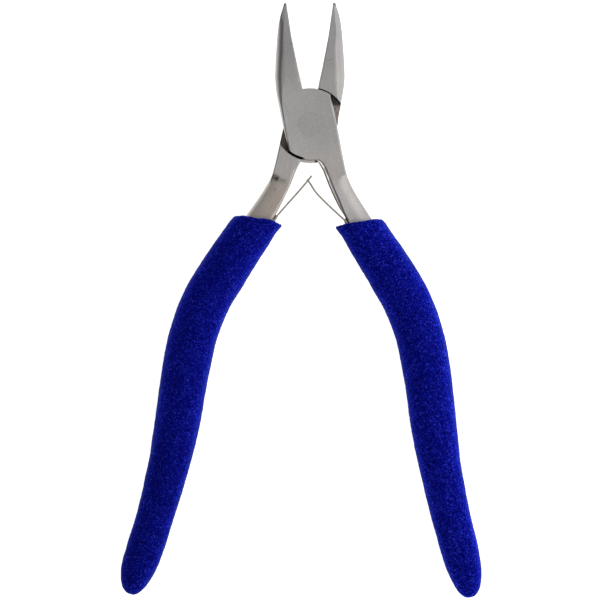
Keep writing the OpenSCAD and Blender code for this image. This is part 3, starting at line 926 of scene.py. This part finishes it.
# ------------------------------------------------------------------------------------------
# Materials
# ------------------------------------------------------------------------------------------
class Nodes:
    """Writes a node tree as nested expressions. Values may be numbers or sockets."""

    def __init__(self, tree, output):
        self.tree = tree
        tree.nodes.clear()
        self.out = tree.nodes.new(output)

    def node(self, kind, inputs=None, **props):
        node = self.tree.nodes.new("ShaderNode" + kind)
        for key, value in props.items():
            setattr(node, key, value)
        for key, value in (inputs or {}).items():
            if isinstance(value, bpy.types.NodeSocket):
                self.tree.links.new(value, node.inputs[key])
            else:
                node.inputs[key].default_value = value
        return node

    def finish(self, shader):
        self.tree.links.new(shader.outputs[0], self.out.inputs[0])

    def math(self, operation, a, b=0.0):
        return self.node("Math", {0: a, 1: b}, operation=operation).outputs[0]

    def mul(self, a, b):
        return self.math("MULTIPLY", a, b)

    def add(self, a, b):
        return self.math("ADD", a, b)

    def sub(self, a, b):
        return self.math("SUBTRACT", a, b)

    def abs(self, a):
        return self.math("ABSOLUTE", a)

    def ramp(self, value, span, to=(0, 1), kind="SMOOTHSTEP"):
        """Takes value over span (start, end) to the range `to`, held beyond both ends."""
        return self.node("MapRange", {"Value": value, "From Min": span[0], "From Max": span[1],
                                      "To Min": to[0], "To Max": to[1]},
                         interpolation_type=kind).outputs[0]

    def fall(self, value, span):
        return self.ramp(value, span, to=(1, 0))

    def linear(self, value, span, to=(0, 1)):
        return self.ramp(value, span, to, kind="LINEAR")

    def mix(self, factor, a, b):
        """Colour from a to b; tuples are opaque RGB."""
        a, b = ((*colour, 1) if isinstance(colour, tuple) else colour for colour in (a, b))
        return self.node("Mix", {0: factor, 6: a, 7: b}, data_type="RGBA").outputs[2]

    def mixf(self, factor, a, b):
        return self.node("Mix", {0: factor, 2: a, 3: b}, data_type="FLOAT").outputs[0]

    def scaled(self, vector, factor):
        return self.node("VectorMath", {0: vector, "Scale": factor},
                         operation="SCALE").outputs[0]

    def muladd(self, vector, factor, plus):
        return self.node("VectorMath", {0: vector, 1: (factor,) * 3, 2: plus},
                         operation="MULTIPLY_ADD").outputs[0]

    def noise(self, vector, scale, detail=2, rough=.5, distort=0, output="Fac"):
        return self.node("TexNoise", {"Vector": vector, "Scale": scale, "Detail": detail,
                                      "Roughness": rough, "Distortion": distort}).outputs[output]

    def stretched(self, vector, scale, detail, rough):
        """Noise with its own scale on each axis."""
        return self.noise(self.mapping(vector, scale=scale), scale=1, detail=detail, rough=rough)

    def mapping(self, vector, degrees=0, scale=(1, 1, 1)):
        """Turns a vector about Z, or scales it."""
        return self.node("Mapping", {"Vector": vector, "Rotation": (0, 0, math.radians(degrees)),
                                     "Scale": scale}).outputs[0]

    def bump(self, height, strength, distance):
        return self.node("Bump", {"Height": height, "Strength": strength,
                                  "Distance": distance}).outputs[0]

    def coords(self):
        """Position in mm, from the object's own coordinates."""
        return self.scaled(self.node("TexCoord").outputs["Object"], 1000)

    def xyz(self, vector):
        return self.node("SeparateXYZ", {0: vector}).outputs

    def segment(self, x, y, start, end, width):
        """1 on a line from start to end (mm), fading over width."""
        dx, dy = end[0] - start[0], end[1] - start[1]
        length = math.hypot(dx, dy)
        dx, dy = dx / length, dy / length
        from_x, from_y = self.sub(x, start[0]), self.sub(y, start[1])
        along = self.add(self.mul(from_x, dx), self.mul(from_y, dy))
        off = self.abs(self.sub(self.mul(from_x, dy), self.mul(from_y, dx)))
        near = self.fall(off, (0, width))
        ends = self.mul(self.ramp(along, (0, length * .25)),
                        self.fall(along, (length * .75, length)))
        return self.mul(near, ends)


def new_material(name):
    material = bpy.data.materials.new(name)
    material.use_nodes = True
    return material, Nodes(material.node_tree, "ShaderNodeOutputMaterial")


def front_painted_light(net, gain, x, y, ax, ay, forge):
    """Painted light and shade on the front half: lap brighter to the lower left, tip bright, and the
    forged part darker towards +X."""
    lap = net.mul(net.ramp(y, span=(-15, -9)), net.ramp(y, span=(12, 8)))
    lift = net.add(net.ramp(x, span=(3.5, -5), to=(0, .09)),
                   net.mul(net.ramp(y, span=(2, -7)), .06))
    gain = net.mul(gain, net.add(1.0, net.mul(lap, lift)))
    gain = net.mul(gain, net.ramp(ay, span=(23, 29), to=(1, 1.13)))
    across = net.sub(ax, net.add(net.mul(ay, -.27), .44))
    return net.mul(gain, net.mixf(forge, 1.0, net.ramp(across, span=(-.2, 2.8), to=(1, .78))))


def recess_shade_and_stain(net, x, y, radius, stain):
    """Colour of the recess, with painted shade: a painted shadow, black near the arc by the jaw and
    dark below it, lighter and mottled further down, brown by the handle, with a painted black shadow
    streak down the left."""
    upper = net.ramp(y, span=(4.6, 5.6))
    unshaded = net.mix(net.ramp(stain, span=(.38, .62)), (.30, .25, .235), (.52, .455, .43))
    # Painted shadow of the jaw's wall: the upper part is dark. Below it the floor is lighter and
    # mottled, and brown by the handle.
    tone = net.mix(net.ramp(x, span=(1, 3)), (.18, .145, .11),
                   net.mix(upper, unshaded, (.105, .088, .08)))
    # Painted shadow: black along the arc by the jaw.
    tone = net.mix(net.mul(upper, net.ramp(radius, span=(9.3, 9.8))), tone, (.02, .018, .018))
    # Painted shadow of the plate's left edge: a black streak.
    shadow_streak = net.segment(x, y, start=(-7.0, .2), end=(-5.2, -8.8), width=.75)
    return net.mix(net.mul(shadow_streak, .92), tone, (.012, .011, .01))


def steel(name, angle, scratches=(), shade_spots=(), forged=(.585, .515, .445), is_front=False):
    """Ground satin steel. angle is the direction of the grinding lines, degrees from +Y.
    Scratches and shade_spots (painted shade) are (start, end, width, strength)."""
    material, net = new_material(name)
    position = net.coords()
    x, y, z = net.xyz(position)
    along = net.mapping(position, degrees=-angle)       # Y now runs along the tool's half
    ax, ay, _ = net.xyz(along)
    # Masks: recess of the lap, its wall, and the forged part of the handle.
    radius = net.math("SQRT", net.add(net.mul(x, x), net.mul(y, y)))
    mid_z = net.fall(net.abs(net.sub(z, PIVOT_Z)), span=(.05, .4))
    lap = net.math("MAXIMUM", net.fall(radius, span=(9.4, 9.6)), net.ramp(y, span=(-9, -8)))
    lap = net.mul(mid_z, net.mul(net.fall(radius, span=(10.4, 10.7)), lap))
    wall = net.mul(net.fall(radius, span=(10.2, 10.5)), net.ramp(radius, span=(9.36, 9.5)))
    wall = net.mul(wall, net.fall(net.abs(ax), span=(6.2, 6.5)))
    wall = net.mul(wall, net.ramp(net.abs(net.sub(z, PIVOT_Z)), span=(HALF_D - .25, HALF_D - .6)))
    forge = net.ramp(ay, span=(-13.5, -19))
    # Fine grinding lines, broken up along their length.
    lines = net.stretched(along, scale=(26, .55, 26), detail=3, rough=.62)
    bands = net.stretched(along, scale=(3.2, .11, 3.2), detail=3, rough=.6)
    hairs = net.stretched(along, scale=(70, 2.2, 70), detail=2, rough=.6)
    blot = net.noise(position, scale=.22, detail=3, rough=.55)
    fine = net.noise(position, scale=3.2, detail=4, rough=.7)
    grind = net.add(net.mul(lines, .5), net.add(net.mul(bands, .3), net.mul(hairs, .2)))
    # Colour: blotches, a cooler jaw, a warmer start of the handle, the forged part.
    colour = net.mix(blot, (.545, .53, .515), (.60, .585, .57))
    colour = net.mix(net.ramp(ay, span=(12, 26)), colour, (.545, .525, .525))
    colour = net.mix(net.ramp(ay, span=(-4, -13)), colour, (.635, .60, .575))
    forge_share = net.mul(forge, net.ramp(blot, span=(.35, .6), to=(.6, 1)))
    colour = net.mix(forge_share, colour, forged)
    shade = net.linear(grind, span=(.3, .7), to=(.85, 1.13))
    speck = net.linear(fine, span=(.32, .7), to=(.87, 1.13))
    gain = net.mul(shade, speck)
    # Painted light and shade on the front half.
    if is_front:
        gain = front_painted_light(net, gain, x, y, ax, ay, forge)
    colour = net.scaled(colour, gain)
    # Stained and oily in the joint, with painted shade: the recess of the lap, the pocket wall and,
    # on the front half, the ledge under the inner bevel are darkened.
    stain = net.noise(position, scale=1.1, detail=4, rough=.65)
    # Painted shade on the ledge under the front half's inner bevel.
    step = net.mul(mid_z, net.mul(net.ramp(ay, span=(-8.5, -9.5)), net.ramp(ay, span=(-22, -19))))
    grime_and_shade = net.math("MAXIMUM", net.math("MAXIMUM", lap, wall),
                    net.mul(step, .8 if is_front else 0))
    grime_and_shade = net.mul(grime_and_shade, net.ramp(stain, span=(.25, .6), to=(.85, 1.0)))
    rim = net.mul(mid_z, net.mul(net.ramp(radius, span=(9.5, 9.62)), net.ramp(y, span=(-8, -9))))
    if not is_front:                                    # lap's rim: painted highlight to the left, painted shadow to the right
        rim_light_and_shadow = net.mix(net.ramp(x, span=(.9, 1.5)), (.93, .91, .9), (.10, .09, .085))
        colour = net.mix(rim, colour, rim_light_and_shadow)
    grime_and_shade = net.mul(grime_and_shade, net.sub(1.0, rim))
    colour = net.mix(grime_and_shade, colour, recess_shade_and_stain(net, x, y, radius, stain))
    # Scratches, painted shade spots and the dark tip.
    for start, end, width, strength in scratches:
        mask = net.mul(net.segment(x, y, start, end, width), strength)
        colour = net.mix(mask, colour, (.16, .15, .16))
    patchy = net.noise(position, scale=1.6, detail=4, rough=.7)
    # Painted shade spots, broken up by noise.
    for start, end, width, strength in shade_spots:
        mask = net.mul(net.segment(x, y, start, end, width),
                       net.ramp(patchy, span=(.32, .58), to=(strength * .45, strength)))
        colour = net.mix(mask, colour, (.075, .066, .062))
    tip = net.mul(net.ramp(ay, span=(32.2, 32.9)), net.ramp(patchy, span=(.3, .6), to=(.4, .95)))
    colour = net.mix(tip, colour, (.30, .235, .15))
    if is_front:                                        # painted shadow along the lap's lower arc, where its bevel faces the gap
        arc_shadow = net.mul(net.ramp(ax, span=(-3.0, -3.9)),
                       net.mul(net.ramp(radius, span=(8.86, 8.98)),
                               net.ramp(ay, span=(-3.4, -4.2))))
        arc_shadow = net.mul(arc_shadow, net.mul(net.fall(radius, span=(9.46, 9.5)),
                                     net.ramp(z, span=(PIVOT_Z, PIVOT_Z + .1))))
        colour = net.mix(arc_shadow, colour, (.012, .011, .010))
    rough = net.linear(grind, span=(.25, .75), to=(.27, .40))
    rough = net.mixf(forge, rough, .36)
    rough = net.mixf(grime_and_shade, rough, .55)
    if is_front:                                        # painted highlight on the steep face inside the handle
        normal = net.node("NewGeometry").outputs["True Normal"]
        normal_x, _, normal_z = net.xyz(normal)
        steep = net.mul(net.mul(net.ramp(normal_z, span=(.15, .2)),
                                net.ramp(normal_z, span=(.54, .46))),
                        net.ramp(normal_x, span=(-.4, -.6)))
        steep = net.mul(steep, net.mul(net.ramp(ay, span=(-9, -10.5)),
                                       net.mul(net.ramp(ay, span=(-30, -26)),
                                               net.ramp(z, span=(PIVOT_Z + .5, PIVOT_Z + .8)))))
        colour = net.mix(steep, colour, (.98, .97, .96))
        rough = net.mixf(steep, rough, .12)
    # Tangent along the grinding lines, carried by the object.
    turn = math.radians(angle)
    tangent = net.node("VectorTransform", {0: (-math.sin(turn), math.cos(turn), 0)},
                       vector_type="VECTOR", convert_from="OBJECT", convert_to="WORLD")
    height = net.add(net.mul(grind, 1.0), net.mul(net.mul(fine, forge), 1.2))
    net.finish(net.node("BsdfPrincipled", {
        "Base Color": colour, "Metallic": 1, "Roughness": rough, "Anisotropic": .45,
        "Tangent": tangent.outputs[0],
        "Normal": net.bump(height, strength=.35, distance=.000015)}))
    return material


def foam(name, gain, low, soft):
    """Blue foam. gain is its brightness, low the factor on it at the far end, soft widens the
    step between its two blues."""
    material, net = new_material(name)
    position = net.coords()
    warped = net.muladd(net.noise(position, scale=.9, detail=2, output="Color"), 1.6, position)
    curl = net.noise(warped, scale=1.3, detail=3, rough=.6, distort=1.4)
    pore = net.node("TexVoronoi", {"Vector": warped, "Scale": 1.9, "Randomness": 1.0},
                    feature="SMOOTH_F1").outputs["Distance"]
    tiny = net.noise(position, scale=2.3, detail=3, rough=.65)
    broad = net.noise(position, scale=.09, detail=2, rough=.5)
    pattern = net.add(net.mul(curl, .6), net.mul(tiny, .4))
    colour = net.mix(net.linear(pattern, span=(.43 - soft, .58 + soft)),
                     (.0001, .0005, .066), (.0028, .0055, .245))
    light = net.ramp(net.add(net.mul(curl, .35), net.mul(tiny, .65)), span=(.535, .64))
    colour = net.mix(net.mul(light, .85), colour, (.026, .038, .42))
    colour = net.mix(net.ramp(broad, span=(.35, .65), to=(0, .3)), colour, (.0008, .002, .10))
    # Painted sheen: the skin is made lighter towards its outline, as lit fibres make it.
    facing = net.node("LayerWeight", {"Blend": .5}).outputs["Facing"]
    edge_gain = net.add(.88, net.ramp(facing, span=(.08, .62), to=(0, .78)))
    down_gain = net.ramp(net.xyz(position)[1], span=(-60, -115), to=(gain, gain * low))
    colour = net.scaled(colour, net.mul(edge_gain, down_gain))
    # Painted sheen colour added towards the outline.
    for span, glow in (((.5, .8), (.016, .012, .004)), ((.3, .65), (.001, .007, .0))):
        colour = net.muladd(net.mix(net.ramp(facing, span), (0, 0, 0), glow), 1, colour)
    height = net.add(net.mul(pore, .6), net.add(net.mul(tiny, .5), net.mul(curl, .6)))
    net.finish(net.node("BsdfPrincipled", {
        "Base Color": colour, "Roughness": .9, "Specular IOR Level": .02, "Sheen Weight": .08,
        "Sheen Roughness": .3, "Sheen Tint": (.2, .3, 1, 1),
        "Normal": net.bump(height, strength=.55, distance=.00012)}))
    return material


def spring_steel(name, angle, dark=1.0):
    """Warm rolled steel; dark scales its two base colours."""
    material, net = new_material(name)
    position = net.coords()
    along = net.mapping(position, degrees=-angle)
    grain = net.stretched(along, scale=(2, .8, 30), detail=3, rough=.6)
    blot = net.noise(position, scale=.5, detail=3, rough=.6)
    colour = net.mix(blot, tuple(part * dark for part in (.44, .395, .33)),
                     tuple(part * dark for part in (.54, .50, .44)))
    colour = net.mix(net.linear(grain, span=(.35, .7), to=(0, .35)), colour, (.34, .30, .25))
    net.finish(net.node("BsdfPrincipled", {
        "Base Color": colour, "Metallic": 1,
        "Roughness": net.linear(grain, span=(.3, .7), to=(.24, .42)),
        "Normal": net.bump(grain, strength=.3, distance=.00001)}))
    return material


# The front half's forged colour is lighter than the back's default: painted light on the handle lit
# from the right.
mat_front = steel("ground_steel_front", OPEN[0], is_front=True, forged=(.715, .68, .665),
                  scratches=[((-5.4, 21.9), (-5.0, 21.5), .25, .8)])
mat_back = steel("ground_steel_back", OPEN[1],
                 scratches=[((3.9, 16.9), (6.6, 17.9), .14, .75),
                            ((4.2, 16.0), (6.4, 16.5), .11, .4),
                            ((4.0, 15.4), (6.0, 15.6), .09, .35)],
                 # Painted shade where the back half's flat face gives way to its forged part.
                 shade_spots=[((-10.5, -13.7), (-8.2, -14.7), 1.35, 1.0),
                          ((-9.6, -14.2), (-6.2, -15.5), 1.1, .45),
                          ((-9.9, -17.0), (-9.1, -17.6), .5, .3)])
mat_rivet = steel("ground_steel_rivet", OPEN[0])
mat_leaf_front = spring_steel("spring_steel_front", angle=42)
mat_leaf_back = spring_steel("spring_steel_back", angle=-42)
# The spring rivets are near black: painted shade where foam, handle and leaf meet.
mat_shaded_rivet = spring_steel("spring_rivet_steel", angle=0, dark=.12)
mat_foam_front = foam("blue_foam_front", gain=1.3, low=1.02, soft=0)
mat_foam_back = foam("blue_foam_back", gain=1.13, low=.86, soft=.03)

# ------------------------------------------------------------------------------------------
# What each piece is made of, rides on and replaces
# ------------------------------------------------------------------------------------------
# (object, material, body it rides on, node it replaces, slot)
RIDERS = [
    (front_half, mat_front, "front_half", "front_half", "steel"),
    (back_half, mat_back, "back_half", "back_half", "steel"),
    (pivot_rivet, mat_rivet, "front_half", "pivot_rivet", "rivet_steel"),
    (front_rivet, mat_shaded_rivet, "front_half", "front_spring_rivet", "rivet_steel"),
    (back_rivet, mat_shaded_rivet, "back_half", "back_spring_rivet", "rivet_steel"),
    (front_grip, mat_foam_front, "front_half", "front_grip", "foam"),
    (back_grip, mat_foam_back, "back_half", "back_grip", "foam")]
# (object, material, bodies at its two ends, node it replaces, root, root to meeting point)
LEAVES = [
    (front_leaf, mat_leaf_front, ("front_half", "front_spring"), "front_spring_leaf",
     ROOT_FRONT, FRONT_CHORD),
    (back_leaf, mat_leaf_back, ("back_half", "back_spring"), "back_spring_leaf",
     ROOT_BACK, BACK_CHORD)]

for obj, material, _, node_name, *_ in RIDERS + LEAVES:
    obj.data.materials.clear()
    obj.data.materials.append(material)
    cad = frame["nodes"][node_name]
    if not cad.material_slots:
        cad.data.materials.append(material)
    for slot in cad.material_slots:
        slot.material = material

for obj, _, body, node_name, slot in RIDERS:
    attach(obj, body)
    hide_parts(node_name)
for obj, _, bodies, node_name, root, chord in LEAVES:
    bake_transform(obj)
    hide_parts(node_name)


# ------------------------------------------------------------------------------------------
# Floor, world, lights, camera (metres)
# ------------------------------------------------------------------------------------------
def floor_material():
    material, net = new_material("pale_floor")
    pale = net.node("AddShader", {
        0: net.node("BsdfDiffuse", {"Color": (.8, .8, .8, 1)}).outputs[0],
        1: net.node("Emission", {"Color": (1, 1, 1, 1), "Strength": .82}).outputs[0]})
    clear = net.node("BsdfTransparent")
    geometry = net.node("NewGeometry")
    # What the steel sees of the floor: bright below it and to the right, dark far out left.
    ray_x, _, ray_z = net.xyz(geometry.outputs["Incoming"])
    far_left = net.ramp(ray_z, span=(0, .72), to=(.27, .88))
    strength = net.mixf(net.ramp(ray_x, span=(-.05, .3)), .90, far_left)
    glow = net.node("Emission", {"Strength": strength})
    glossy = net.node("LightPath").outputs["Is Glossy Ray"]
    top = net.node("MixShader", {0: glossy, 1: pale.outputs[0], 2: glow.outputs[0]})
    net.finish(net.node("MixShader", {0: geometry.outputs["Backfacing"], 1: top.outputs[0],
                                      2: clear.outputs[0]}))
    return material


def make_floor(half_size=1.5, gap=.0002):
    z = cad_lo.z - gap
    mesh = bpy.data.meshes.new("floor")
    mesh.from_pydata([(half_size * x, half_size * y, z)
                      for x, y in ((-1, -1), (1, -1), (1, 1), (-1, 1))], [], [[0, 1, 2, 3]])
    obj = new_object("floor", mesh)
    mesh.materials.append(floor_material())


def make_world():
    """White to the camera; to all else brighter on the right than on the left and far side."""
    world = bpy.data.worlds.new("studio")
    bpy.context.scene.world = world
    world.use_nodes = True
    net = Nodes(world.node_tree, "ShaderNodeOutputWorld")
    x, y, z = net.xyz(net.node("TexCoord").outputs["Generated"])
    level = net.add(.50, 0.0)
    right = net.ramp(x, span=(.03, .34), to=(0, .50))
    far_right = net.ramp(x, span=(.45, .9), to=(0, -.12))
    far_left = net.ramp(x, span=(-.58, -.88), to=(0, -.29))
    left = net.ramp(x, span=(-.05, -.5), to=(0, -.07))
    behind = net.ramp(y, span=(.05, .6), to=(0, -.16))
    level = net.add(level, net.add(net.add(right, far_right),
                                   net.add(net.add(far_left, left), behind)))
    rim = net.mul(net.ramp(z, span=(.3, 0), to=(0, .12)), net.ramp(x, span=(-.3, -.7)))
    level = net.add(net.math("MAXIMUM", level, .06), rim)
    seen = net.mixf(net.node("LightPath").outputs["Is Camera Ray"], level, 1.0)
    net.finish(net.node("Background", {"Color": (1, 1, 1, 1), "Strength": seen}))


def area_light(name, location, target, size, power):
    data = bpy.data.lights.new(name, "AREA")
    data.shape = "RECTANGLE"
    data.size, data.size_y = size
    data.energy = power
    obj = new_object(name, data)
    obj.location = location
    aim = Vector(target) - Vector(location)
    obj.rotation_euler = aim.to_track_quat("-Z", "Y").to_euler()
    obj.visible_glossy = False


def make_camera(mid_y):
    """Looks straight down; the tool fills the height and stands a little right of the middle."""
    data = bpy.data.cameras.new("camera")
    obj = new_object("camera", data)
    data.type = "ORTHO"
    data.ortho_scale = (cad_hi.y - cad_lo.y) * 1.0085
    data.clip_start, data.clip_end = .01, 5
    obj.location = ((cad_lo.x + cad_hi.x) / 2 - .00028, mid_y, .9)
    obj.rotation_euler = (0, 0, 0)
    bpy.context.scene.camera = obj


make_floor()
make_world()
mid_y = (cad_lo.y + cad_hi.y) / 2
area_light("softbox_right", location=(.62, mid_y - .05, .42), target=(0, mid_y, 0),
           size=(.5, .7), power=2.2)
area_light("fill_top", location=(-.05, mid_y, .8), target=(0, mid_y, 0), size=(.5, .5), power=1.0)
make_camera(mid_y)
bpy.context.scene.view_settings.view_transform = "Standard"
bpy.context.scene.view_settings.look = "None"
